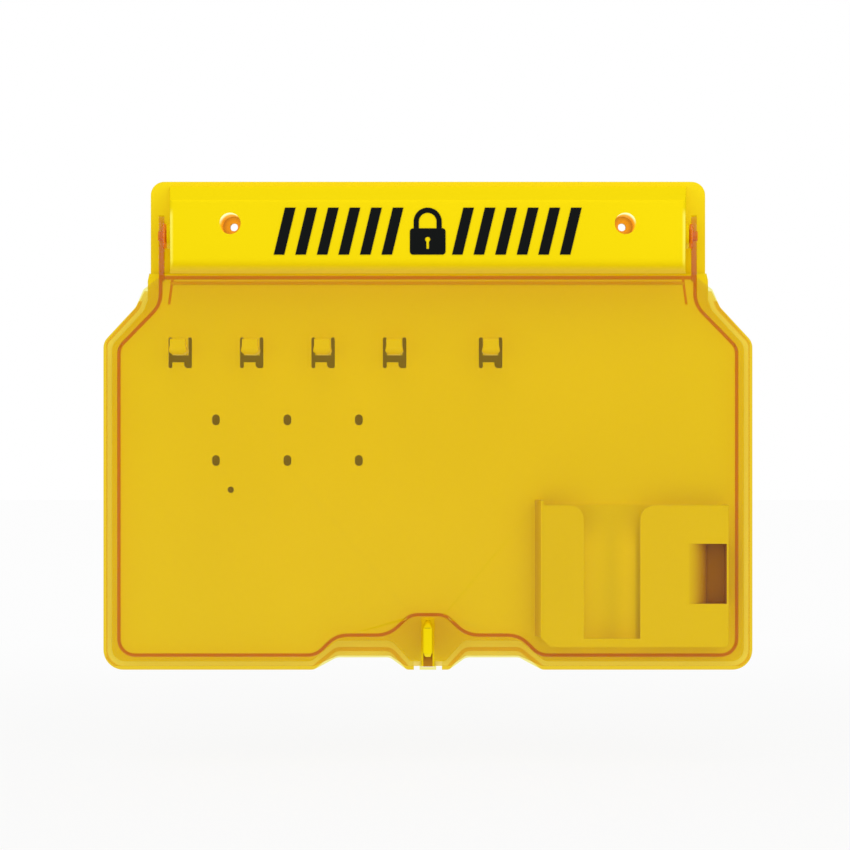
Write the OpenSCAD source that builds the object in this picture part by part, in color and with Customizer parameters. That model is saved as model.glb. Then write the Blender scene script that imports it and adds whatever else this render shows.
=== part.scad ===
// Wall lockout station: a back board with a sign header, hooks for padlocks,
// a tag pocket and a see-through hinged cover that a padlock can hold shut.
// X runs along the wall, Z is up, and the front faces -Y. The wall is the plane
// y = 0. The origin is midway between the two wall-screw holes.
// "Depth" always means the distance in front of the wall.

/* [Cover] */
// Width across the cover's flange
cover_w = 406; // [400:1:420]
// Distance from the wall-screw line down to the cover's lower edge
cover_drop = 277.5; // [275:0.5:293]
// Distance of the cover's front face from the wall
cover_depth = 44.5; // [43:0.5:50]
// Thickness of the cover's face, flange and skirt
cover_t = 2.5; // [2:0.1:3]
// Thickness of the side walls of its tray
wall_t = 2.1; // [1.8:0.1:2.5]
// Thickness of the two ears that carry the hinge pins
ear_t = 3.4; // [3:0.1:3.6]
// Clear gap all round between the cover's skirt and the board
skirt_gap = 2.5; // [2:0.1:3]

/* [Board] */
// Distance of the board's face from the wall
board_face = 11.5; // [11:0.1:12]
// Thickness of the board's face and of its rim
board_t = 3; // [2.4:0.1:3]
// Thickness of the stiffening ribs behind the board
rib_t = 1.8; // [1.2:0.1:2.5]

/* [Header] */
// Distance of the sign face from the wall
header_depth = 38; // [36:0.5:38]
// Wall thickness of the sign housing
header_t = 2.5; // [2:0.1:3]
// Distance between the two wall screws
screw_pitch = 244; // [235:1:250]
// Diameter of each wall-screw hole
screw_hole_d = 5; // [4.5:0.1:6]
// Diameter of the recess that takes the wall-screw head
screw_head_d = 13.2; // [10:0.1:14]

/* [Hinge] */
// Diameter of the hinge pin where it turns in the housing
pin_d = 8; // [7:0.1:9]
// Clearance on the radius between the pin and its bore
pin_play = 0.05; // [0.02:0.01:0.1]
// Outside diameter of the hinge washers
washer_d = 15.5; // [14:0.5:16]

/* [Hooks] */
// Distance between neighbouring padlock hooks
hook_pitch = 44.8; // [42:0.1:45]
// Width of the tongue that carries a hook
hook_w = 9.7; // [8.5:0.1:10]
// Distance of a hook's tip from the wall
hook_reach = 29; // [27:0.5:32]
// Width of the open slots on either side of a hook
slot_w = 2.5; // [2:0.1:3]

/* [Lock] */
// Thickness of the locking fin
fin_t = 5.6; // [5:0.1:5.8]
// Distance of the fin's front edge from the wall
fin_reach = 36; // [35:0.5:38]
// Diameter of the hole for a padlock shackle
shackle_hole_d = 9; // [8:0.5:10]

/* [Tag pocket] */
// Width of the tag pocket
pocket_w = 116.6; // [112:0.1:116.6]
// Height of the tag pocket
pocket_h = 88.1; // [86:0.1:89]
// Distance of the pocket's front from the wall
pocket_depth = 27; // [26:0.5:30]
// Wall thickness of the pocket
pocket_t = 2; // [1.6:0.1:2.2]

/* [Hidden] */
$fn = 64;
arc_step = 9;     // largest turn, in degrees, between two points of a rounded corner
over = 1;         // how far a cutter runs past the face it cuts

// Hinge
axis_depth = 18;
axis_z = -6.5;
spigot_d = 6;
washer_t = 1.3;
hinge_boss_l = 14;

// Cover
half_w = cover_w / 2;
tray_half = half_w - 8.7;
flange_front = board_face + 3;
flange_back = flange_front - cover_t;
skirt_back = 6;
skirt_top = -47;
tray_top = -32.3;
ear_in = 164.9;
ear_half = ear_in + ear_t;
ear_r = 13;
ear_foot_z = -28;
lip_depth = 12;
bead_z = -36.7;
bead_t = 1.8;
bead_depth = 12.5;
shoulder_z = -73.5;
recess_rise = 7.7;
skirt_rise = 11.7;
gusset_t = 1.6;
gusset_x = 158.8;
gusset_foot_x = 161;
gusset_z = -49;

// Board
edge_inset = cover_t + skirt_gap;
board_back = board_face - board_t;
board_half = half_w - edge_inset;
board_rise = 18;
board_top = -29.5;
plate_half = 174.6;
plate_top = 28.8;
plate_t = 3;
rib_back = 1.5;
rib_rows = [-45, -109, -208];

// Header housing
header_half = 162.4;
header_front_half = 158.9;
header_end_r = 2.5;
header_lean_from = 6;
header_low = -29.4;
header_face_top = 14.1;
header_back_top = 26;
header_nose_r = 8;
seat_depth = 6;
boss_d = 8;
boss_depth = 20;
header_screw_places = [for (x = [-95, 95], z = [-19, 9]) [x, z]];

// Sign symbols
symbol_t = 0.4;
symbol_h = 29;
symbol_z = -4.8;
bar_w = 6.5;
bar_lean = 7;
bar_pitch = 13.3;
bar_first = 18.5;

// Hooks
slot_top = -69.4;
slot_low = -88.8;
tongue_z = -80.6;
ledge_z = -85.1;
arm_t = 4.8;
lip_t = 3.5;
lip_top = -70.8;
lip_spread = 0.75;
spread_h = 5.8;
lip_chamfer = 2;
foot_t = 2.5;
foot_half = 13;
foot_h = 14;
hook_screw_x = 8.5;
hook_screw_z = slot_top + foot_h / 2;
hook_xs = [for (i = [0:3]) -155.3 + i * hook_pitch];
hasp_x = 39.3;
all_hook_xs = concat(hook_xs, [hasp_x]);
low_rib_xs = concat([-178], hook_xs, [52, 100, 148]);
high_rib_xs = [-178, 70, 125, 178];
slot_half = hook_w / 2 + slot_w;

// Holes in the board
oval_w = 5;
oval_h = 6.8;
oval_rows = [-121.2, -146.7];
small_hole_d = 4;
small_hole_x = -123.6;
small_hole_z = -165;

// Lock staple
fin_h = 21;
fin_top = 30.6 - cover_drop;
fin_low = fin_top - fin_h;
fin_mid = fin_top - fin_h / 2;
fin_chamfer = 2.2;
fin_tip_t = 2.4;
fin_tip_h = 3.2;
fin_foot_t = 3.6;
fin_play = 1.2;
hole_depth = 26;
staple_half = 13.5;
staple_rise = 4;
staple_screw_x = 10;

// Snap tongue at the cover's lower edge
tongue_half = 5.2;
notch_w = 3.6;
notch_h = 5.6;
tongue_strip = 1.7;
catch_half = 4.2;
catch_rise = 1.2;
catch_back = 2;
catch_front = 6;
catch_play = 0.3;

// Small fasteners
screw_d = 3;
head_d = 5.6;
head_t = 1.6;
cross_w = 1.4;
cross_l = 3.8;
skin_t = 0.8;
blind_end = board_face - skin_t;
foot_back = board_back - foot_t;

// Tag pocket
pocket_x = 70.3;
pocket_x1 = pocket_x + pocket_w;
pocket_top = -174.3;
pocket_side_rise = 3;
pocket_low = pocket_top - pocket_h;
pocket_back_t = 1.5;
pocket_cut = 6;
pocket_draft = 3.2;
panel_left_w = 26.7;
panel_gap = 34.9;
panel_r = 9;
bar_h = 5.3;
window_w = 25;
window_edge = 1.2;
shoulder_r = 14;
window_z0 = -235.5;
window_z1 = -198.2;
window_x = pocket_x1 - window_edge - window_w;
pocket_boss_d = 7;
pocket_boss_end = 20;
pocket_screw_end = 18;
pocket_screw_places = [
    [pocket_x + 9, pocket_top - 10],
    [pocket_x + 12, pocket_low + 14],
    [pocket_x1 - 9, pocket_top - 10],
    [pocket_x1 - 9, pocket_low + 9]];

// ---------------------------------------------------------------- outlines

function unit(v) = v / norm(v);

// Points of a corner at b, coming from a and leaving to c, rounded to radius r
function corner(a, b, c, r) =
    let (u = unit(a - b), w = unit(c - b), half_turn = acos(u * w) / 2)
    let (centre = b + unit(u + w) * r / sin(half_turn), reach = r / tan(half_turn))
    let (p = b + u * reach - centre, q = b + w * reach - centre)
    let (start = atan2(p[1], p[0]))
    let (sweep = (atan2(q[1], q[0]) - start + 540) % 360 - 180)
    let (steps = max(1, ceil(abs(sweep) / arc_step)))
    [for (i = [0:steps]) let (t = start + sweep * i / steps) centre + r * [cos(t), sin(t)]];

function flat(p) = [p[0], p[1]];

function radius(p) = len(p) > 2 ? p[2] : 0;

// A closed outline whose corners are given as [x, z] or [x, z, radius]
function rounded(path) =
    let (n = len(path))
    [for (i = [0:n - 1])
        let (a = flat(path[(i + n - 1) % n]), b = flat(path[i]), c = flat(path[(i + 1) % n]))
        each radius(path[i]) > 0 ? corner(a, b, c, radius(path[i])) : [b]];

// The right half of an outline, from its top downwards, joined to its mirror image
function both_halves(half) =
    concat(half, [for (i = [len(half) - 1:-1:0]) [-half[i][0], half[i][1], radius(half[i])]]);

function right_of(v) = [v[1], -v[0]];

// A clockwise outline moved inwards by d, with its corners kept concentric
function inset(path, d) =
    let (n = len(path))
    [for (i = [0:n - 1])
        let (a = flat(path[(i + n - 1) % n]), b = flat(path[i]), c = flat(path[(i + 1) % n]))
        let (m = right_of(unit(b - a)), k = right_of(unit(c - b)), r = radius(path[i]))
        let (p = b + d * (m + k) / (1 + m * k), outer = m[0] * k[1] - m[1] * k[0] < 0)
        [p[0], p[1], r == 0 ? 0 : max(d / 4, outer ? r - d : r + d)]];

// Where a line from point p touches a circle, on its left (side = 1) or right (side = -1)
function touch(p, centre, r, side) =
    let (v = p - centre, t = atan2(v[1], v[0]) + side * acos(r / norm(v)))
    centre + r * [cos(t), sin(t)];

// The cover's rim, whose lower edge rises by the given amount on either side of the fin
function rim_outline(rise) = both_halves([
    [ear_in, -29.5],
    [178, -39.5, 3],
    [182.7, -50.6, 8],
    [half_w, shoulder_z + 1, 9],
    [half_w, -cover_drop, 12.5],
    [71.3, -cover_drop, 6],
    [57, rise - cover_drop, 6],
    [23.8, rise - cover_drop, 6],
    [13.2, -cover_drop, 3]]);

flange_outline = rim_outline(recess_rise);
skirt_outline = rim_outline(skirt_rise);

// The cover's raised tray
tray_outline = both_halves([
    [ear_half, tray_top],
    [ear_half, -48.8, 15],
    [tray_half, shoulder_z - 2, 10],
    [tray_half, 8.1 - cover_drop, 11],
    [69.4, 8.1 - cover_drop, 13.2],
    [56.9, 20.6 - cover_drop, 16.2],
    [23.6, 20.6 - cover_drop, 20],
    [10.7, 33.4 - cover_drop, 10.4]]);

// The back board's raised face
board_outline = both_halves([
    [plate_half, board_top],
    [175.6, -34, 2],
    [175.6, -46.2, 3],
    [178.1, -52.7, 4],
    [board_half, shoulder_z - 0.9, 8],
    [board_half, edge_inset - cover_drop, 8],
    [73, edge_inset - cover_drop, 6],
    [57.3, board_rise - cover_drop, 6],
    [22.7, board_rise - cover_drop, 6],
    [10.9, edge_inset - cover_drop, 2.5]]);

// The board's thin plate behind the sign housing
plate_outline = both_halves([
    [plate_half, plate_top, 8.5],
    [plate_half, board_top - board_t]]);

// ---------------------------------------------------------------- helpers

// Extrudes an outline in X and Z between two depths in front of the wall
module slab(from, to)
    translate([0, -from, 0]) rotate([90, 0, 0]) linear_extrude(to - from) children();

// Extrudes a profile in Y and Z between two places along X
module along(from, to)
    translate([from, 0, 0]) rotate([90, 0, 90]) linear_extrude(to - from) children();

// Extrudes an outline in X and Y between two heights
module upright(from, to)
    translate([0, 0, from]) linear_extrude(to - from) children();

// A round bar or hole that runs from one depth to another
module rod_out(x, z, from, to, d)
    translate([x, -from, z]) rotate([90, 0, 0]) cylinder(h = to - from, d = d);

// A round bar or hole on the hinge line, between two places along X
module hinge_rod(from, to, d)
    translate([from, -axis_depth, axis_z]) rotate([0, 90, 0]) cylinder(h = to - from, d = d);

// A plain bar: its limits along X, its depths, and its limits in Z
module bar(x0, x1, from, to, z0, z1)
    translate([x0, -to, z0]) cube([x1 - x0, to - from, z1 - z0]);

// An upright slot with round ends through the board
module board_slot(x, z0, z1, w) {
    rod_out(x, z0 + w / 2, -over, board_face + over, w);
    rod_out(x, z1 - w / 2, -over, board_face + over, w);
    bar(x - w / 2, x + w / 2, -over, board_face + over, z0 + w / 2, z1 - w / 2);
}

module on_both_sides() {
    children();
    mirror([1, 0, 0]) children();
}

// A screw driven from behind, whose head bears on a face at the given depth
module screw_from_behind(x, z, seat, end)
    difference() {
        union() {
            rod_out(x, z, seat - head_t, seat, head_d);
            rod_out(x, z, seat - head_t / 2, end, screw_d);
        }
        for (half = [[cross_w / 2, cross_l / 2], [cross_l / 2, cross_w / 2]])
            bar(x - half[0], x + half[0], seat - head_t - over, seat - head_t / 2,
                z - half[1], z + half[1]);
    }

// ---------------------------------------------------------------- back board

// The H-shaped opening around one hook: the hook's tongue fills its upper middle
module hook_opening(x) {
    board_slot(x - slot_half + slot_w / 2, slot_low, slot_top, slot_w);
    board_slot(x + slot_half - slot_w / 2, slot_low, slot_top, slot_w);
    board_slot(x + slot_half - slot_w, slot_low, tongue_z, 2 * slot_w);
    bar(x - hook_w / 2, x + hook_w / 2, -over, board_face + over, ledge_z, slot_top);
}

module board_ribs() {
    for (z = rib_rows)
        bar(-board_half, board_half, rib_back, board_back, z - rib_t / 2, z + rib_t / 2);
    for (x = low_rib_xs)
        bar(x - rib_t / 2, x + rib_t / 2, rib_back, board_back, board_rise - cover_drop, rib_rows[1]);
    for (x = high_rib_xs)
        bar(x - rib_t / 2, x + rib_t / 2, rib_back, board_back, rib_rows[1], rib_rows[0]);
}

// The catch under the fin, which the cover's snap tongue passes over
module snap_catch()
    bar(-catch_half, catch_half, catch_back, catch_front, catch_rise - cover_drop, fin_low - catch_play);

module back_board() color("gold") {
    snap_catch();
    difference() {
        union() {
            difference() {
                slab(0, board_face) polygon(rounded(board_outline));
                slab(-over, board_back) polygon(rounded(inset(board_outline, board_t)));
            }
            slab(0, plate_t) polygon(rounded(plate_outline));
            intersection() {
                slab(0, board_face) polygon(rounded(inset(board_outline, board_t / 2)));
                board_ribs();
            }
        }
        for (x = all_hook_xs)
            hook_opening(x);
        for (i = [0:2], z = oval_rows)
            board_slot(hook_xs[i] + hook_pitch / 2, z - oval_h / 2, z + oval_h / 2, oval_w);
        rod_out(small_hole_x, small_hole_z, -over, board_face + over, small_hole_d);
        slab(-over, board_face + over) polygon(rounded(fin_front));
        bar(-fin_t / 2, fin_t / 2, -over, board_face + over, edge_inset - cover_drop - over, fin_mid);
        for (x = all_hook_xs, s = [-1, 1])
            rod_out(x + s * hook_screw_x, hook_screw_z, board_back - over, blind_end, screw_d);
        for (s = [-1, 1]) {
            rod_out(s * screw_pitch / 2, 0, -over, plate_t + over, screw_hole_d);
            rod_out(s * staple_screw_x, fin_mid, board_back - over, blind_end, screw_d);
        }
        for (p = header_screw_places) {
            rod_out(p[0], p[1], -over, plate_t + over, screw_d);
            rod_out(p[0], p[1], -over, plate_t - head_t / 2, head_d);
        }
        for (p = pocket_screw_places)
            rod_out(p[0], p[1], board_back - over, board_face + over, screw_d);
    }
}

// ---------------------------------------------------------------- sign header

// Side view of the housing, in Y and Z
header_profile = [
    [-plate_t, header_back_top],
    [-header_depth, header_face_top, 2.5],
    [-header_depth, header_low, header_nose_r],
    [-plate_t, header_low]];

// Top view of the housing, in X and Y: its ends lean in towards the face
header_plan = [
    [header_half, header_t + over],
    [header_half, -header_lean_from],
    [header_front_half, -header_depth, header_end_r],
    [-header_front_half, -header_depth, header_end_r],
    [-header_half, -header_lean_from],
    [-header_half, header_t + over]];

// Side view of the hollow inside it, which is open at the back
header_hollow = [
    [over - plate_t, header_back_top - 1.2 * header_t],
    [header_t - header_depth, header_face_top - header_t, 1],
    [header_t - header_depth, header_low + header_t, header_nose_r - header_t],
    [over - plate_t, header_low + header_t]];

module header_housing() color("yellow")
    difference() {
        union() {
            difference() {
                intersection() {
                    along(-header_half, header_half) polygon(rounded(header_profile));
                    upright(header_low - over, header_back_top + over)
                        polygon(rounded(header_plan));
                }
                intersection() {
                    along(header_t - header_half, header_half - header_t)
                        polygon(rounded(header_hollow));
                    upright(header_low, header_back_top)
                        polygon(rounded(inset(header_plan, header_t)));
                }
            }
            on_both_sides() {
                rod_out(screw_pitch / 2, 0, plate_t, header_depth - header_t / 2,
                        screw_head_d + 2 * header_t);
                hinge_rod(header_half - hinge_boss_l, header_half, washer_d);
            }
            for (p = header_screw_places)
                rod_out(p[0], p[1], plate_t, header_depth - header_t / 2, boss_d);
        }
        on_both_sides() {
            rod_out(screw_pitch / 2, 0, seat_depth, header_depth + over, screw_head_d);
            rod_out(screw_pitch / 2, 0, plate_t - over, header_depth, screw_hole_d);
            hinge_rod(header_half - hinge_boss_l + header_t, header_half + over, pin_d + 2 * pin_play);
        }
        for (p = header_screw_places)
            rod_out(p[0], p[1], plate_t - over, boss_depth - header_t, screw_d);
    }

module header_screws() color("silver")
    for (p = header_screw_places)
        screw_from_behind(p[0], p[1], plate_t - head_t / 2, boss_depth - header_t);

// A plain padlock sign: a round-cornered body with a keyhole, and a shackle over it
module padlock_sign() {
    body_w = symbol_h * 0.76;
    body_h = symbol_h * 0.56;
    body_top = body_h - symbol_h / 2;
    shackle_r = body_w * 0.32;
    line = symbol_h * 0.11;
    shackle_z = symbol_h / 2 - shackle_r - line / 2;
    difference() {
        polygon(rounded([
            [-body_w / 2, body_top, 2],
            [body_w / 2, body_top, 2],
            [body_w / 2, -symbol_h / 2, 2],
            [-body_w / 2, -symbol_h / 2, 2]]));
        translate([0, body_top - body_h * 0.42]) circle(d = line);
        translate([-line / 4, body_top - body_h * 0.78]) square([line / 2, body_h * 0.36]);
    }
    difference() {
        union() {
            translate([0, shackle_z]) circle(r = shackle_r + line / 2);
            translate([-shackle_r - line / 2, body_top - 0.5])
                square([2 * shackle_r + line, shackle_z - body_top + 0.5]);
        }
        translate([0, shackle_z]) circle(r = shackle_r - line / 2);
        translate([line / 2 - shackle_r, body_top - over])
            square([2 * shackle_r - line, shackle_z - body_top + over]);
    }
}

module slanted_bar(x)
    polygon([
        [x - bar_lean / 2, -symbol_h / 2],
        [x + bar_w - bar_lean / 2, -symbol_h / 2],
        [x + bar_w + bar_lean / 2, symbol_h / 2],
        [x + bar_lean / 2, symbol_h / 2]]);

module sign_symbols() color("black")
    slab(header_depth, header_depth + symbol_t) translate([0, symbol_z]) {
        padlock_sign();
        for (i = [0:5]) {
            slanted_bar(bar_first + i * bar_pitch);
            slanted_bar(-bar_first - bar_w - i * bar_pitch);
        }
    }

// ---------------------------------------------------------------- cover

// One ear of the cover, which carries the hinge pin beside the sign housing
module cover_ear() {
    hub = [-axis_depth, axis_z];
    back_foot = [-flange_back, ear_foot_z];
    front_foot = [-cover_depth, tray_top];
    along(ear_in, ear_half) {
        translate(hub) circle(r = ear_r);
        polygon([
            [-flange_back, tray_top - cover_t],
            back_foot,
            touch(back_foot, hub, ear_r, 1),
            hub,
            touch(front_foot, hub, ear_r, -1),
            front_foot,
            [-cover_depth, tray_top - cover_t]]);
    }
}

// A small web that stiffens the end of the top lip against the face
module lip_gusset()
    slab(cover_depth - lip_depth, cover_depth - cover_t / 2)
        polygon([
            [gusset_x, tray_top - cover_t / 2],
            [gusset_x + gusset_t, tray_top - cover_t / 2],
            [gusset_foot_x + gusset_t, gusset_z],
            [gusset_foot_x, gusset_z]]);

// A stiffening bead inside the face, just below the lip
module lip_bead()
    bar(-gusset_x - gusset_t, gusset_x + gusset_t,
        cover_depth - cover_t - bead_depth, cover_depth - cover_t / 2,
        bead_z - bead_t / 2, bead_z + bead_t / 2);

module cover_tray()
    difference() {
        slab(flange_back, cover_depth) polygon(rounded(tray_outline));
        slab(flange_back - over, cover_depth - cover_t)
            polygon(rounded(inset(tray_outline, wall_t)));
        bar(-ear_in, ear_in, 0, cover_depth - lip_depth, tray_top - cover_t, tray_top + over);
    }

module cover_flange()
    difference() {
        slab(flange_back, flange_front) polygon(rounded(flange_outline));
        slab(flange_back - over, flange_front + over)
            polygon(rounded(inset(tray_outline, wall_t)));
        bar(-ear_in, ear_in, 0, cover_depth, tray_top - cover_t, 0);
    }

module cover_skirt()
    difference() {
        slab(skirt_back, flange_back + cover_t / 2) polygon(rounded(skirt_outline));
        slab(skirt_back - over, cover_depth) polygon(rounded(inset(skirt_outline, cover_t)));
        bar(-half_w - over, half_w + over, 0, cover_depth, skirt_top, 0);
        bar(-tongue_half - notch_w, tongue_half + notch_w, 0, flange_back,
            -cover_drop - over, fin_low);
    }

module cover_shell() color("orange", 0.6)
    difference() {
        union() {
            cover_tray();
            cover_flange();
            cover_skirt();
            lip_bead();
            on_both_sides() {
                cover_ear();
                lip_gusset();
            }
        }
        hinge_rod(-ear_half - over, ear_half + over, spigot_d);
        bar(-fin_t / 2 - fin_play, fin_t / 2 + fin_play, 0, flange_front + over,
            tongue_strip - cover_drop, fin_top + 2);
        on_both_sides()
            bar(tongue_half, tongue_half + notch_w, 0, flange_front + over,
                -cover_drop - over, notch_h - cover_drop);
    }

// The right-hand pin: a spigot fixed in the ear and a shaft that turns in the housing
module hinge_pin() {
    hinge_rod(header_half - hinge_boss_l + header_t + 0.5, ear_in, pin_d);
    hinge_rod(ear_in, ear_half, spigot_d);
}

module hinge_pin_right() color("darkorange") hinge_pin();

module hinge_pin_left() color("darkorange") mirror([1, 0, 0]) hinge_pin();

module hinge_washer()
    difference() {
        hinge_rod(ear_in - washer_t, ear_in, washer_d);
        hinge_rod(ear_in - washer_t - over, ear_in + over, pin_d + 4 * pin_play);
    }

module hinge_washer_right() color("chocolate") hinge_washer();

module hinge_washer_left() color("chocolate") mirror([1, 0, 0]) hinge_washer();

// ---------------------------------------------------------------- hooks

// Side view of a hook: the tongue in the board, the arm and the upturned lip
hook_profile = [
    [-foot_back, slot_top],
    [-board_face, slot_top],
    [-board_face, tongue_z + arm_t, 2],
    [lip_t - hook_reach, tongue_z + arm_t, 2.5],
    [lip_t - hook_reach, lip_top, 1],
    [-hook_reach, lip_top, 1.4],
    [-hook_reach, tongue_z, 4],
    [-foot_back, tongue_z]];

// Front view of the part that stands out of the board: it spreads a little towards its foot
module hook_front()
    polygon(rounded(both_halves([
        [hook_w / 2, slot_top, 1.2],
        [hook_w / 2, tongue_z + spread_h],
        [hook_w / 2 + lip_spread, tongue_z + lip_chamfer],
        [hook_w / 2 + lip_spread - lip_chamfer, tongue_z]])));

hook_profile_points = rounded(hook_profile);

module hook(x) color("gold") translate([x, 0, 0])
    difference() {
        union() {
            intersection() {
                along(-hook_w, hook_w) polygon(hook_profile_points);
                union() {
                    bar(-hook_w / 2, hook_w / 2, 0, board_face, tongue_z, slot_top);
                    slab(board_face - skin_t, hook_reach + over) hook_front();
                }
            }
            bar(-foot_half, foot_half, foot_back, board_back, slot_top, slot_top + foot_h);
            bar(-hook_w / 2, hook_w / 2, foot_back, board_back, tongue_z, slot_top + over);
        }
        for (s = [-1, 1])
            rod_out(s * hook_screw_x, hook_screw_z, foot_back - over, board_back + over, screw_d);
    }

module padlock_hook_1() hook(hook_xs[0]);

module padlock_hook_2() hook(hook_xs[1]);

module padlock_hook_3() hook(hook_xs[2]);

module padlock_hook_4() hook(hook_xs[3]);

module hasp_hook() hook(hasp_x);

module hook_screws() color("silver")
    for (x = all_hook_xs, s = [-1, 1])
        screw_from_behind(x + s * hook_screw_x, hook_screw_z, foot_back, blind_end);

// ---------------------------------------------------------------- lock staple

// Side view of the fin, in Y and Z
fin_profile = [
    [-foot_back, fin_top],
    [fin_chamfer - fin_reach, fin_top],
    [-fin_reach, fin_top - fin_chamfer],
    [-fin_reach, fin_low + fin_chamfer],
    [fin_chamfer - fin_reach, fin_low],
    [-foot_back, fin_low]];

// Front view of the fin: it thins out towards its top and its foot
fin_front = both_halves([
    [fin_tip_t / 2, fin_top],
    [fin_t / 2, fin_top - fin_tip_h, 3],
    [fin_t / 2, fin_low + fin_tip_h, 3],
    [fin_foot_t / 2, fin_low]]);

module lock_staple() color("yellow")
    difference() {
        union() {
            intersection() {
                along(-fin_t / 2, fin_t / 2) polygon(fin_profile);
                slab(foot_back, fin_reach + over) polygon(rounded(fin_front));
            }
            bar(-staple_half, staple_half, foot_back, board_back,
                fin_low + staple_rise, fin_top + staple_rise);
        }
        translate([-fin_t, -hole_depth, fin_mid]) rotate([0, 90, 0])
            cylinder(h = 2 * fin_t, d = shackle_hole_d);
        for (s = [-1, 1])
            rod_out(s * staple_screw_x, fin_mid, foot_back - over, board_back + over, screw_d);
    }

module staple_screws() color("silver")
    for (s = [-1, 1])
        screw_from_behind(s * staple_screw_x, fin_mid, foot_back, blind_end);

// ---------------------------------------------------------------- tag pocket

module pocket_inside()
    polygon(rounded([
        [pocket_x + pocket_t, pocket_top + over],
        [pocket_x1 - pocket_t, pocket_top + over],
        [pocket_x1 - pocket_t, pocket_low + pocket_t, 1],
        [pocket_x + pocket_t + pocket_cut, pocket_low + pocket_t],
        [pocket_x + pocket_t, pocket_low + pocket_t + pocket_cut]]));

module pocket_outside()
    polygon(rounded([
        [pocket_x, pocket_top],
        [pocket_x1, pocket_top],
        [pocket_x1, pocket_low, 3],
        [pocket_x + pocket_cut, pocket_low],
        [pocket_x, pocket_low + pocket_cut]]));

// The gap between the two front panels, with the panels' top corners rounded
module pocket_gap() {
    left = pocket_x + panel_left_w;
    right = left + panel_gap;
    translate([left, pocket_low + bar_h]) square([panel_gap, pocket_h]);
    for (side = [[left, -1], [right, 1]])
        difference() {
            translate([side[0] - panel_r, pocket_top - panel_r])
                square([2 * panel_r, panel_r + over]);
            translate([side[0] + side[1] * panel_r, pocket_top - panel_r]) circle(r = panel_r);
            translate([side[1] > 0 ? side[0] + panel_r : side[0] - 2 * panel_r, pocket_top - 2 * panel_r])
                square([panel_r, 2 * panel_r + 2 * over]);
        }
}

// The finger window: its left side rolls over from the pocket's face down to its back
module window_cut()
    difference() {
        bar(window_x, window_x + window_w, board_face + pocket_back_t, pocket_depth + over,
            window_z0, window_z1);
        translate([window_x, shoulder_r - pocket_depth, window_z0 - over])
            cylinder(h = window_z1 - window_z0 + 2 * over, r = shoulder_r, $fn = 128);
    }

module tag_pocket() color("gold")
    difference() {
        union() {
            difference() {
                slab(board_face, pocket_depth) pocket_outside();
                slab(board_face + pocket_back_t, pocket_depth - pocket_t) pocket_inside();
            }
            for (p = pocket_screw_places)
                rod_out(p[0], p[1], board_face, pocket_boss_end, pocket_boss_d);
            bar(window_x - pocket_t, pocket_x1 - skin_t,
                board_face + skin_t, pocket_depth - skin_t,
                window_z0 - pocket_t, window_z1 + pocket_t);
            upright(pocket_low + pocket_cut, pocket_top + pocket_side_rise)
                polygon([
                    [pocket_x + pocket_t, -board_face],
                    [pocket_x - pocket_draft, -board_face],
                    [pocket_x, -pocket_depth],
                    [pocket_x + pocket_t, -pocket_depth]]);
        }
        slab(pocket_depth - pocket_t - over, pocket_depth + over) pocket_gap();
        window_cut();
        for (p = pocket_screw_places)
            rod_out(p[0], p[1], board_face - over, pocket_screw_end, screw_d);
    }

module pocket_screws() color("silver")
    for (p = pocket_screw_places)
        screw_from_behind(p[0], p[1], board_back, pocket_screw_end);

// ---------------------------------------------------------------- drawing

back_board();
header_housing();
sign_symbols();
header_screws();
cover_shell();
hinge_pin_left();
hinge_pin_right();
hinge_washer_left();
hinge_washer_right();
padlock_hook_1();
padlock_hook_2();
padlock_hook_3();
padlock_hook_4();
hasp_hook();
hook_screws();
lock_staple();
staple_screws();
tag_pocket();
pocket_screws();
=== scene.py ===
"""Looks of the wall lockout station: moulded yellow parts, a clear amber cover and a printed sign.

Lengths are in millimetres until MM turns them into metres. "Depth" is the distance in front of the
wall, which is the plane y = 0; the front of the station faces -Y.
"""

import math

import bmesh
import bpy
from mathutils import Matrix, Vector


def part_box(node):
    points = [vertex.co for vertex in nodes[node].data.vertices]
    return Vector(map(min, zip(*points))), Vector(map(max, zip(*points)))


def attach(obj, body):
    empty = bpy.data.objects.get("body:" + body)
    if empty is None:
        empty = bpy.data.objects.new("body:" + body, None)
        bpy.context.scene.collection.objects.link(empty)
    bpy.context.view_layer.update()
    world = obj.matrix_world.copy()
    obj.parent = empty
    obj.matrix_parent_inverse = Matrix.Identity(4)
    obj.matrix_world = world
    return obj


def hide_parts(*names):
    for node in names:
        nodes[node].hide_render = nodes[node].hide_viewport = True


MM = 0.001

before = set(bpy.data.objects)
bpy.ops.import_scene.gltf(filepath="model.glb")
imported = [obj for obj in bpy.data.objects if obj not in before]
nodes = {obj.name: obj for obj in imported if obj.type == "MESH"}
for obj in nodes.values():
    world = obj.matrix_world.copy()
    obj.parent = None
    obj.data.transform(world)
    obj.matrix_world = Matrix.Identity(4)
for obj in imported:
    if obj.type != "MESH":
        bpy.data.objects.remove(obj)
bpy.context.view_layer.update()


# ------------------------------------------------------------------ places read from the frame


def span(node, axis):
    """Lowest and highest place of a CAD node along an axis (0, 1 or 2), in millimetres."""
    low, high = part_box(node)
    return low[axis] / MM, high[axis] / MM


def face_depth(node):
    """Depth of a CAD node's front."""
    return -span(node, 1)[0]


def behind(face, distance):
    """The y of a plane that lies a distance behind a front of the given depth."""
    return distance - face


BOARD_FACE = face_depth("back_board")
BOARD_SIDE = span("back_board", 0)[1]
COVER_FACE = face_depth("cover_shell")
COVER_SIDE = span("cover_shell", 0)[1]
COVER_LOW = span("cover_shell", 2)[0]
HEADER_FACE = face_depth("header_housing")
FLANGE_FACE = BOARD_FACE + 3.0

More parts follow.
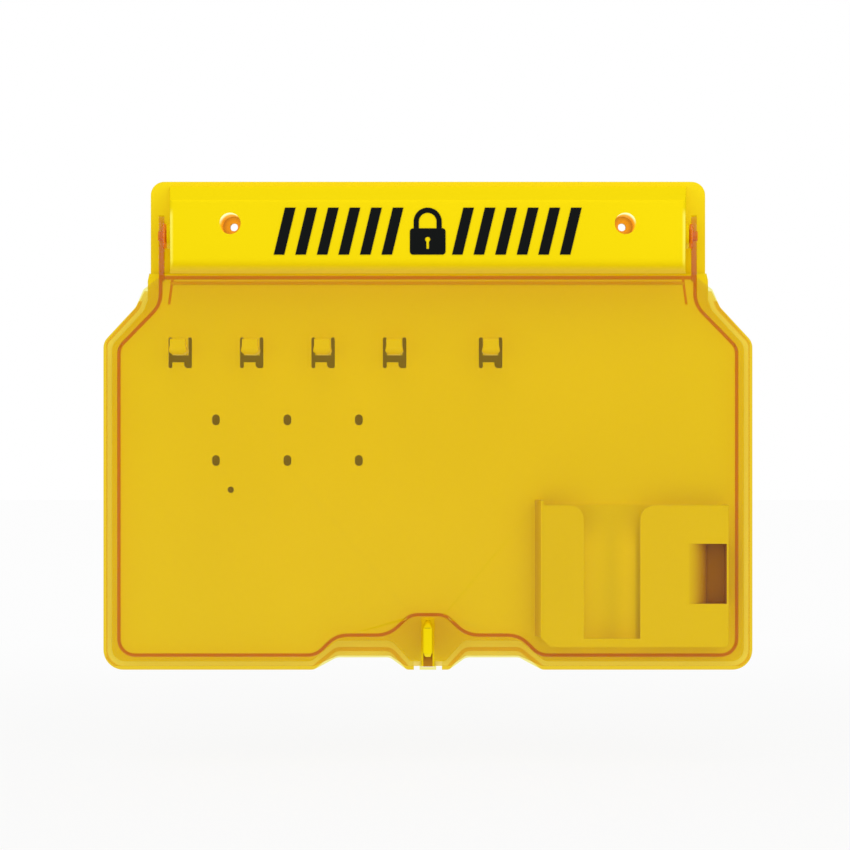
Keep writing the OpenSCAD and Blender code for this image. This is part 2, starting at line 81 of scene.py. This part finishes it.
# The cover's top lip, the back edge of its skirt, and the heights at which the draft changes
LIP_Z, LIP_DEPTH, DRAFT_Z = -36.0, 12.0, -48.0
SKIRT_BACK, SKIRT_TOP = 6.0, -46.5

# The fin: the foot behind it reaches above its top end
STAPLE_RISE = 4.0
FIN_LOW = span("lock_staple", 2)[0]
FIN_TOP = span("lock_staple", 2)[1] - STAPLE_RISE
FIN_HOLE_DEPTH = 26.0

# The sign housing: its screw recesses, half its width, and the heights between which its ends shine
RECESS_X, RECESS_R = 122.0, 6.6
SIGN_HALF, SIGN_LOW, SIGN_HIGH = 158.7, -25.0, 7.0

# The tag pocket: its left wall leans out behind and rises above the two panels, which leave a gap
POCKET_DRAFT, POCKET_RISE = 3.2, 3.0
PANEL_WIDTH, GAP_WIDTH = 26.7, 34.9
POCKET_FACE = face_depth("tag_pocket")
POCKET_LEFT = span("tag_pocket", 0)[0] + POCKET_DRAFT
POCKET_SIDE = span("tag_pocket", 0)[1]
POCKET_TOP = span("tag_pocket", 2)[1] - POCKET_RISE
GAP_LEFT = POCKET_LEFT + PANEL_WIDTH
GAP_RIGHT = GAP_LEFT + GAP_WIDTH
WINDOW_MID, WINDOW_HALF = -216.85, 18.9

# The camera stands straight in front, a little below the sign. FRAME_WIDTH is what it sees at the
# cover's flange, and the middle of the picture lies MIDDLE_SHIFT to the left of the station's.
EYE = Vector((8.0, -1713.0, -124.4))
FRAME_WIDTH = 531.8
MIDDLE_SHIFT = 1.8
SENSOR = 36.0


# ------------------------------------------------------------------ shader nodes


def adder(tree):
    """A function that adds a node to a tree. An input is given by name, or as i and its number."""
    def add(kind, **inputs):
        node = tree.nodes.new(kind)
        for key, value in inputs.items():
            numbered = key[0] == "i" and key[1:].isdigit()
            target = node.inputs[int(key[1:]) if numbered else key]
            if isinstance(value, bpy.types.NodeSocket):
                tree.links.new(value, target)
            else:
                target.default_value = value
        return node

    add.link = tree.links.new
    return add


def shader(name):
    """A new node material: the material, its output and a function that adds a node."""
    material = bpy.data.materials.new(name)
    material.use_nodes = True
    material.node_tree.nodes.clear()
    add = adder(material.node_tree)
    return material, add("ShaderNodeOutputMaterial"), add


def noise(add, place, scale, detail=3.0):
    """A noise value at a scale given in cycles per metre."""
    return add("ShaderNodeTexNoise", Vector=place, Scale=scale, Detail=detail).outputs["Fac"]


def remap(add, value, low, high):
    """Stretches a value between 0 and 1 to run from low to high."""
    stretch = {"To Min": low, "To Max": high}
    return add("ShaderNodeMapRange", Value=value, **stretch).outputs["Result"]


def step_between(add, value, start, end):
    """0 up to start, 1 from end on, and a smooth rise between them."""
    node = add("ShaderNodeMapRange", Value=value, **{"From Min": start, "From Max": end})
    node.interpolation_type = "SMOOTHSTEP"
    return node.outputs["Result"]


def math_node(add, operation, first, second=0.0):
    """The result of a sum on one or two values."""
    node = add("ShaderNodeMath", i0=first, i1=second)
    node.operation = operation
    return node.outputs[0]


def product(add, first, *others):
    """The product of several values."""
    for other in others:
        first = math_node(add, "MULTIPLY", first, other)
    return first


def inverse(add, value):
    """1 less the value."""
    return math_node(add, "SUBTRACT", 1.0, value)


def two_colors(add, share, first, second):
    """A mix of two colours, each a socket or a triple."""
    node = add("ShaderNodeMixRGB", Fac=share)
    for socket, value in (("Color1", first), ("Color2", second)):
        if isinstance(value, bpy.types.NodeSocket):
            add.link(value, node.inputs[socket])
        else:
            node.inputs[socket].default_value = list(value) + [1.0]
    return node.outputs["Color"]


def brighter(color, factor, lift=0.0):
    """A colour scaled up, each channel held at 1."""
    return [min(1.0, c * factor + lift) for c in color]


# ------------------------------------------------------------------ places on a surface


def coordinates(add, vector):
    """The three coordinates of a vector."""
    parts = add("ShaderNodeSeparateXYZ", Vector=vector)
    return parts.outputs["X"], parts.outputs["Y"], parts.outputs["Z"]


def rise(add, value, start, end):
    """step_between with its ends in millimetres."""
    return step_between(add, value, start * MM, end * MM)


def past(add, value, limit):
    """1 where a value is past a limit in millimetres, else 0."""
    return math_node(add, "GREATER_THAN", value, limit * MM)


def short_of(add, value, limit):
    """1 where a value is short of a limit in millimetres, else 0."""
    return math_node(add, "LESS_THAN", value, limit * MM)


def apart(add, value, middle=0.0):
    """How far a value lies from a middle given in millimetres, on either side of it."""
    return math_node(add, "ABSOLUTE", math_node(add, "SUBTRACT", value, middle * MM))


def upward(add):
    """1 on faces that look straight up, 0 on upright ones and -1 on those that look down."""
    return coordinates(add, add("ShaderNodeNewGeometry").outputs["Normal"])[2]


def edge_share(add, radius):
    """How far the surface lies on a rounded edge: 0 on flat faces, 1 on the edge itself."""
    rounded = add("ShaderNodeBevel", Radius=radius * MM).outputs["Normal"]
    flat = add("ShaderNodeNewGeometry").outputs["Normal"]
    alike = add("ShaderNodeVectorMath", i0=rounded, i1=flat)
    alike.operation = "DOT_PRODUCT"
    return step_between(add, alike.outputs["Value"], 0.995, 0.8)


def hollow_share(add, reach):
    """How shut in the surface is by the same piece, up to reach millimetres away."""
    shut = add("ShaderNodeAmbientOcclusion", Distance=reach * MM)
    shut.only_local = True
    return step_between(add, shut.outputs["AO"], 0.7, 0.1)


# ------------------------------------------------------------------ local light and shade


def recess_glow(add, place):
    """Painted light: a glow in the screw recesses that stands in for light shining through their walls,
    with a painted highlight near the top of each mouth, and a faint painted glow on faces that look
    down.
    """
    x, y, z = coordinates(add, place)
    aside = apart(add, apart(add, x), RECESS_X)
    square = math_node(add, "ADD", product(add, aside, aside), product(add, z, z))
    inside = math_node(add, "LESS_THAN", square, (RECESS_R * MM) ** 2 * 1.02)
    sunk = past(add, y, behind(HEADER_FACE, 0.5))
    near_mouth = rise(add, y, behind(HEADER_FACE, 20), behind(HEADER_FACE, 3))
    upper = rise(add, z, -1, 5)
    color = two_colors(add, product(add, near_mouth, upper), (0.17, 0.07, 0.012), (0.7, 0.66, 0.62))
    recess = add("ShaderNodeEmission", Color=color, Strength=product(add, inside, sunk))
    below = step_between(add, upward(add), -0.5, -1.0)
    underside = add("ShaderNodeEmission", Color=(0.11, 0.12, 0.03, 1.0), Strength=below)
    return add("ShaderNodeAddShader", i0=recess.outputs[0], i1=underside.outputs[0])


def gap_glow(add, place):
    """Painted light on the wall behind the gap between the pocket's thin panels, standing in for light
    let through them.
    """
    x, y, z = coordinates(add, place)
    from_left = rise(add, x, GAP_LEFT + 20, GAP_LEFT)
    from_right = product(add, rise(add, x, GAP_RIGHT - 18, GAP_RIGHT - 4),
                         rise(add, x, GAP_RIGHT - 0.5, GAP_RIGHT - 3))
    across = product(add, math_node(add, "MAXIMUM", from_left, from_right), 0.19)
    level = math_node(add, "ADD", across, 0.03)
    deep = past(add, y, behind(POCKET_FACE, 6))
    in_gap = product(add, past(add, x, GAP_LEFT - 2), short_of(add, x, GAP_RIGHT - 0.2))
    below_top = rise(add, z, POCKET_TOP - 2, POCKET_TOP - 30)
    return add("ShaderNodeEmission", Color=(0.88, 0.66, 0.01, 1.0),
               Strength=product(add, level, deep, in_gap, below_top))


def amber_glow(add, place):
    """Painted light: a mottled glow standing in for light carried inside the amber plastic of a small
    piece.
    """
    return add("ShaderNodeEmission", Color=(0.4, 0.11, 0.008, 1.0),
               Strength=remap(add, noise(add, place, 90.0), 0.7, 1.0))


def window_shade(add, place):
    """The dim light in the finger window, deeper towards its right side, and on the left wall."""
    x, y, z = coordinates(add, place)
    at_window = product(add, short_of(add, apart(add, z, WINDOW_MID), WINDOW_HALF),
                        past(add, y, behind(POCKET_FACE, 0.1)))
    across = rise(add, x, POCKET_SIDE - 29, POCKET_SIDE - 11)
    wall = rise(add, x, POCKET_LEFT + 0.4, POCKET_LEFT - 2.4)
    return math_node(add, "MAXIMUM", product(add, at_window, across, 0.93), product(add, wall, 0.3))


def end_shine(add, place):
    """The light that the rounded ends of the sign catch, fading out above and below."""
    x, _, z = coordinates(add, place)
    across = rise(add, apart(add, apart(add, x), SIGN_HALF), 2.0, 0.2)
    below = rise(add, z, SIGN_LOW - 4, SIGN_LOW + 4)
    above = rise(add, z, SIGN_HIGH + 3, SIGN_HIGH - 3)
    return product(add, across, below, above)


def catch_shade(add, place):
    """The shadow on the catch below the fin."""
    x, _, z = coordinates(add, place)
    return product(add, short_of(add, apart(add, x), 2.9), short_of(add, z, FIN_LOW), 0.9)


# ------------------------------------------------------------------ materials

# SHADE is the colour that painted shade mixes towards and SHINE that of a painted highlight;
# HOLLOW_SHADE scales each channel of a colour for painted shade in hollows.
SHADE = (0.47, 0.18, 0.016)
SHINE = (1.0, 0.88, 0.11)
HOLLOW_SHADE = (0.3, 0.16, 1.0)
RIM_TINT = (0.88, 0.58, 0.4)
RIM_LAYER = "rim"


def moulded_plastic(name, color, rough=0.38, tint=0.04, grain=0.06, specular=0.08, glow=None,
                    shade=None, shine=None):
    """Satin moulded plastic: slow drift in colour, painted highlights on its edges, painted shade in its
    hollows and a fine grain.
    """
    material, output, add = shader(name)
    place = add("ShaderNodeTexCoord").outputs["Object"]
    body = two_colors(add, noise(add, place, 9.0), brighter(color, 1 - tint), brighter(color, 1 + tint))
    # Painted highlight: the rounded edges are lightened.
    body = two_colors(add, product(add, edge_share(add, 1.0), 0.5), body, brighter(color, 1.25, 0.01))
    # Painted shade: hollows shut in by the same piece are darkened towards a warm brown.
    body = two_colors(add, hollow_share(add, 7.0), body, [c * t for c, t in zip(color, HOLLOW_SHADE)])
    if shade:
        body = two_colors(add, shade(add, place), body, SHADE)
    if shine:
        # Painted light: faces that look up are lightened, and the shine mask adds a painted highlight.
        facing_up = step_between(add, upward(add), 0.3, 0.95)
        body = two_colors(add, facing_up, body, brighter(color, 1.12))
        body = two_colors(add, shine(add, place), body, SHINE)
    soft = add("ShaderNodeBevel", Radius=0.5 * MM).outputs["Normal"]
    bump = add("ShaderNodeBump", Height=noise(add, place, 2600.0, 2.0), Strength=grain,
               Distance=0.06 * MM, Normal=soft)
    worn = {"Base Color": body, "Specular IOR Level": specular,
            "Roughness": remap(add, noise(add, place, 60.0, 5.0), rough - 0.05, rough + 0.06)}
    surface = add("ShaderNodeBsdfPrincipled", Normal=bump.outputs["Normal"], **worn).outputs["BSDF"]
    if glow:
        light = glow(add, place).outputs[0]
        surface = add("ShaderNodeAddShader", i0=surface, i1=light).outputs[0]
    add.link(surface, output.inputs["Surface"])
    return material


def clear_amber(name, density=520.0, absorb=(0.982, 0.925, 0.1), skin=(0.978, 0.985, 0.97)):
    """Clear amber plastic: light passes straight through and is absorbed by its thickness.

    The narrow end faces of walls and ribs lose more light, so these show as darker lines.
    """
    material, output, add = shader(name)
    place = add("ShaderNodeTexCoord").outputs["Object"]
    rim = add("ShaderNodeAttribute")
    rim.attribute_name = RIM_LAYER
    tinted = two_colors(add, rim.outputs["Fac"], skin, RIM_TINT)
    is_shadow = add("ShaderNodeLightPath").outputs["Is Shadow Ray"]
    through = add("ShaderNodeBsdfTransparent", Color=two_colors(add, is_shadow, tinted, (1.0, 1.0, 1.0)))
    ripple = add("ShaderNodeBump", Height=noise(add, place, 25.0, 2.0), Strength=0.08, Distance=0.4 * MM)
    gloss = add("ShaderNodeBsdfGlossy", Color=(0.45, 0.45, 0.45, 1.0), Normal=ripple.outputs["Normal"],
                Roughness=remap(add, noise(add, place, 400.0, 6.0), 0.06, 0.16))
    outside = inverse(add, add("ShaderNodeNewGeometry").outputs["Backfacing"])
    bare = remap(add, rim.outputs["Fac"], 1.0, 0.2)
    mirrored = math_node(add, "MINIMUM", add("ShaderNodeFresnel", IOR=1.5).outputs["Fac"], 0.12)
    mix = add("ShaderNodeMixShader", Fac=product(add, mirrored, outside, bare),
              i1=through.outputs[0], i2=gloss.outputs[0])
    add.link(mix.outputs[0], output.inputs["Surface"])
    volume = add("ShaderNodeVolumeAbsorption", Color=list(absorb) + [1.0], Density=density)
    add.link(volume.outputs[0], output.inputs["Volume"])
    return material


def zinc(name):
    """Zinc-plated steel with fine turned scratches."""
    material, output, add = shader(name)
    scratches = noise(add, add("ShaderNodeTexCoord").outputs["Object"], 900.0, 6.0)
    bump = add("ShaderNodeBump", Height=scratches, Strength=0.15, Distance=0.05 * MM)
    plated = {"Base Color": (0.62, 0.62, 0.6, 1.0), "Roughness": remap(add, scratches, 0.28, 0.45)}
    steel = add("ShaderNodeBsdfPrincipled", Metallic=1.0, Normal=bump.outputs["Normal"], **plated)
    add.link(steel.outputs["BSDF"], output.inputs["Surface"])
    return material


YELLOW = (0.88, 0.68, 0.004)
POCKET_YELLOW = [c * 0.95 for c in YELLOW]
HEADER_YELLOW = [c * 0.97 for c in YELLOW]
BOARD = moulded_plastic("board_yellow", YELLOW, shade=catch_shade)
POCKET = moulded_plastic("pocket_yellow", POCKET_YELLOW, shade=window_shade, glow=gap_glow)
HEADER = moulded_plastic("header_yellow", HEADER_YELLOW, specular=0.0, glow=recess_glow, shine=end_shine)
PRINT = moulded_plastic("print_black", (0.004, 0.005, 0.005), rough=0.6, specular=0.05)
WASHER = moulded_plastic("washer_amber", (0.5, 0.15, 0.01), rough=0.3, glow=amber_glow)
PIN = moulded_plastic("pin_amber", (0.78, 0.29, 0.02), rough=0.3)
COVER = clear_amber("cover_amber")
STEEL = zinc("screw_steel")


# ------------------------------------------------------------------ moulded pieces

SHARP = math.radians(25)
SEAM = 0.002


def new_object(name, mesh):
    """A new object of the scene."""
    obj = bpy.data.objects.new(name, mesh)
    bpy.context.scene.collection.objects.link(obj)
    return obj


def piece_mesh(node):
    """A copy of a CAD node's mesh with its seams welded."""
    work = bmesh.new()
    work.from_mesh(nodes[node].data)
    bmesh.ops.remove_doubles(work, verts=work.verts, dist=SEAM * MM)
    return work


def round_edges(obj, width, segments=3):
    """Rounds the edges that carry a weight, which scales the width; other sharp edges stay so."""
    bevel = obj.modifiers.new("rounded", "BEVEL")
    bevel.width = width * MM
    bevel.segments = segments
    bevel.limit_method = "WEIGHT"
    bevel.use_clamp_overlap = False
    bevel.miter_outer = "MITER_SHARP"
    bevel.face_strength_mode = "FSTR_ALL"
    even = obj.modifiers.new("even_shading", "WEIGHTED_NORMAL")
    even.mode = "FACE_AREA"
    even.use_face_influence = True
    even.keep_sharp = True


def weigh_edges(work, weight):
    """Gives sharp edges their weight; those without one stay sharp."""
    layer = work.edges.layers.float.new("bevel_weight_edge")
    for edge in work.edges:
        if len(edge.link_faces) == 2 and edge.calc_face_angle(0.0) > SHARP:
            edge[layer] = weight((edge.verts[0].co + edge.verts[1].co) / 2 / MM)
            edge.smooth = edge[layer] > 0


def moulded(node, body, material, width=0.5, weight=None, shape=None):
    """A visible piece made from a CAD node: welded, reshaped if asked, and with rounded edges."""
    work = piece_mesh(node)
    weigh_edges(work, weight or (lambda middle: 0.0))
    if shape:
        shape(work)
    for face in work.faces:
        face.smooth = True
    mesh = bpy.data.meshes.new(node + "_moulded")
    work.to_mesh(mesh)
    work.free()
    mesh.materials.append(material)
    obj = new_object(node + "_moulded", mesh)
    round_edges(obj, width)
    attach(obj, body)
    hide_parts(node)


def in_front_of_board(middle):
    """Whether a place stands in front of the board's face."""
    return -middle.y > BOARD_FACE + 0.1


def hook_weight(middle):
    """All of the hook in front of the board."""
    return 1.0 if in_front_of_board(middle) else 0.0


def fin_weight(middle):
    """The fin's outline in front of the board, apart from the shackle hole."""
    from_hole = math.hypot(-middle.y - FIN_HOLE_DEPTH, middle.z - (FIN_LOW + FIN_TOP) / 2)
    return 1.0 if in_front_of_board(middle) and from_hole > 5 else 0.0


def cover_weight(middle):
    """The outer edge of the cover's face, apart from its top and the slot for the fin."""
    at_slot = abs(middle.x) < 9 and middle.z < COVER_LOW + 36
    return 1.0 if -middle.y > COVER_FACE - 0.1 and middle.z < -40 and not at_slot else 0.0


def mark_rims(work):
    """Marks the narrow end faces of the cover's top lip, gussets and skirt."""
    layer = work.faces.layers.float.new(RIM_LAYER)
    for face in work.faces:
        middle = face.calc_center_median() / MM
        at_lip_end = abs(abs(middle.y) - (COVER_FACE - LIP_DEPTH)) < 0.3
        on_lip_or_gusset = at_lip_end and (middle.z > LIP_Z or abs(middle.x) > SIGN_HALF + 0.3)
        on_skirt = abs(abs(middle.y) - SKIRT_BACK) < 0.3
        face[layer] = 1.0 if on_lip_or_gusset else 0.35 if on_skirt else 0.0


def draft(co):
    """Leans the cover's walls inwards towards its face, as its mould must; its lip stays level."""
    depth = -co.y / MM
    if depth > FLANGE_FACE + 0.01 or co.z / MM < SKIRT_TOP:
        share = (depth - FLANGE_FACE) / (-EYE.y - FLANGE_FACE)
        below_lip = min(1.0, max(0.0, (co.z / MM - LIP_Z) / (DRAFT_Z - LIP_Z)))
        co.x -= co.x * share
        co.z += (EYE.z * MM - co.z) * share * below_lip


def shape_cover(work):
    """Marks the cover's rims and gives its walls their draft."""
    mark_rims(work)
    for vertex in work.verts:
        draft(vertex.co)


HOOKS = ("padlock_hook_1", "padlock_hook_2", "padlock_hook_3", "padlock_hook_4", "hasp_hook")
moulded("back_board", "station", BOARD)
moulded("header_housing", "station", HEADER)
moulded("tag_pocket", "station", POCKET)
moulded("lock_staple", "station", HEADER, width=0.9, weight=fin_weight)
for hook in HOOKS:
    moulded(hook, "station", BOARD, weight=hook_weight)
moulded("cover_shell", "cover", COVER, width=1.2, weight=cover_weight, shape=shape_cover)


# ------------------------------------------------------------------ CAD pieces kept as they are


def finish_node(name, material):
    """Gives a CAD piece its own material."""
    for holder in nodes[name].material_slots:
        holder.material = material


for name in ("header_screws", "hook_screws", "staple_screws", "pocket_screws"):
    finish_node(name, STEEL)
for side in ("left", "right"):
    finish_node("hinge_pin_" + side, PIN)
    finish_node("hinge_washer_" + side, WASHER)
finish_node("sign_symbols", PRINT)


# ------------------------------------------------------------------ stage


def plane(name, corners, material):
    """A flat face of the stage."""
    mesh = bpy.data.meshes.new(name)
    mesh.from_pydata([Vector(c) * MM for c in corners], [], [range(len(corners))])
    mesh.materials.append(material)
    new_object(name, mesh)


# The board's sloping shoulder, as the direction it faces and its distance from the origin
SHOULDER_X, SHOULDER_Z, SHOULDER_REACH = 0.737, 0.676, 93.0


def wall_patch_material():
    """A wall patch, painted shade behind the board and painted light around it, that only shows from
    the front: from behind, the station's back stays in view and lit."""
    material, output, add = shader("stage_wall")
    x, _, z = coordinates(add, add("ShaderNodeTexCoord").outputs["Object"])
    aside = apart(add, x)
    at_side = rise(add, aside, BOARD_SIDE - 4, BOARD_SIDE - 1)
    at_foot = rise(add, z, COVER_LOW + 22, COVER_LOW + 19)
    slope = math_node(add, "ADD", product(add, aside, SHOULDER_X), product(add, z, SHOULDER_Z))
    at_shoulder = rise(add, slope, SHOULDER_REACH, SHOULDER_REACH + 2)
    around = math_node(add, "MAXIMUM", at_side, math_node(add, "MAXIMUM", at_foot, at_shoulder))
    # Painted shade and light: dark brown where the patch lies behind the board, light yellow around its
    # sides, foot and shoulder.
    color = two_colors(add, around, (0.34, 0.28, 0.19), (0.96, 0.83, 0.32))
    paint = add("ShaderNodeBsdfDiffuse", Color=color)
    clear = add("ShaderNodeBsdfTransparent")
    seen = product(add, inverse(add, add("ShaderNodeNewGeometry").outputs["Backfacing"]),
                   add("ShaderNodeLightPath").outputs["Is Camera Ray"])
    mix = add("ShaderNodeMixShader", Fac=seen, i1=clear.outputs[0], i2=paint.outputs[0])
    add.link(mix.outputs[0], output.inputs["Surface"])
    return material


def floor_material():
    """A pale floor that turns into the white backdrop away from the station."""
    material, output, add = shader("stage_floor")
    paint = add("ShaderNodeBsdfDiffuse", Color=(0.86, 0.86, 0.85, 1.0))
    glow = add("ShaderNodeEmission", Color=(1.0, 1.0, 1.0, 1.0), Strength=0.98)
    away = add("ShaderNodeVectorMath", i0=add("ShaderNodeTexCoord").outputs["Object"])
    away.operation = "LENGTH"
    fade = remap(add, rise(add, away.outputs["Value"], 300, 1100), 0.9, 1.0)
    mix = add("ShaderNodeMixShader", Fac=fade, i1=paint.outputs[0], i2=glow.outputs[0])
    add.link(mix.outputs[0], output.inputs["Surface"])
    return material


FLOOR_Z = COVER_LOW - 60
REACH = 6000
plane("floor", [(-REACH, -REACH, FLOOR_Z), (REACH, -REACH, FLOOR_Z), (REACH, REACH, FLOOR_Z),
                (-REACH, REACH, FLOOR_Z)], floor_material())

# The patch of wall behind the cover: its right half, from its top downwards
WALL_Y = 0.4
WALL_LOW = COVER_LOW + 1
FINGER_Z = COVER_LOW + 7.5
WALL_HALF = [(160, -40), (179, -40), (184, -50), (COVER_SIDE, -72), (COVER_SIDE, COVER_LOW + 5.5),
             (COVER_SIDE - 5, WALL_LOW), (72, WALL_LOW), (57, FINGER_Z), (24, FINGER_Z), (14, WALL_LOW)]
plane("wall_patch", [(-x, WALL_Y, z) for x, z in WALL_HALF]
      + [(x, WALL_Y, z) for x, z in reversed(WALL_HALF)], wall_patch_material())


# ------------------------------------------------------------------ light and camera


def area_light(name, place, size, power):
    """A rectangular lamp that looks at the middle of the station."""
    data = bpy.data.lights.new(name, "AREA")
    data.shape = "RECTANGLE"
    data.size, data.size_y = size[0] * MM, size[1] * MM
    data.energy = power
    light = new_object(name, data)
    light.location = Vector(place) * MM
    light.rotation_mode = "QUATERNION"
    light.rotation_quaternion = (MIDDLE - Vector(place)).to_track_quat("-Z", "Y")


MIDDLE = Vector((0, 0, -120))
area_light("key", (900, -1500, 900), (1200, 900), 4.0)
area_light("left_fill", (-1200, -1400, 0), (1200, 1400), 4.2)
area_light("right_fill", (1300, -1400, 0), (1200, 1400), 3.3)
area_light("top", (-200, -900, 1500), (1400, 800), 4.6)


def studio_world(front_level=0.85, rear_level=0.3):
    """White to the camera; as light, a soft glow that is stronger in front than behind."""
    world = bpy.data.worlds.new("studio")
    world.use_nodes = True
    world.node_tree.nodes.clear()
    add = adder(world.node_tree)
    way = add("ShaderNodeTexCoord").outputs["Generated"]
    rear = add("ShaderNodeVectorMath", i0=way, i1=(0.0, 0.8, -0.6))
    rear.operation = "DOT_PRODUCT"
    ends = {"From Min": -1.0, "From Max": 1.0, "To Min": front_level, "To Max": rear_level}
    level = add("ShaderNodeMapRange", Value=rear.outputs["Value"], **ends).outputs["Result"]
    lit = add("ShaderNodeBackground", Color=(1.0, 0.995, 0.98, 1.0), Strength=level)
    seen = add("ShaderNodeBackground", Color=(1.0, 1.0, 1.0, 1.0), Strength=1.0)
    mix = add("ShaderNodeMixShader", Fac=add("ShaderNodeLightPath").outputs["Is Camera Ray"],
              i1=lit.outputs[0], i2=seen.outputs[0])
    add("ShaderNodeOutputWorld", Surface=mix.outputs[0])
    bpy.context.scene.world = world


studio_world()

camera_data = bpy.data.cameras.new("camera")
camera_data.sensor_width = SENSOR
camera_data.lens = SENSOR * (-EYE.y - FLANGE_FACE) / FRAME_WIDTH
camera_data.shift_x = -(EYE.x + MIDDLE_SHIFT) / FRAME_WIDTH
camera = new_object("camera", camera_data)
camera.location = EYE * MM
camera.rotation_euler = (math.radians(90), 0, 0)
bpy.context.scene.camera = camera
bpy.context.scene.view_settings.view_transform = "Standard"
bpy.context.scene.cycles.transparent_max_bounces = 32
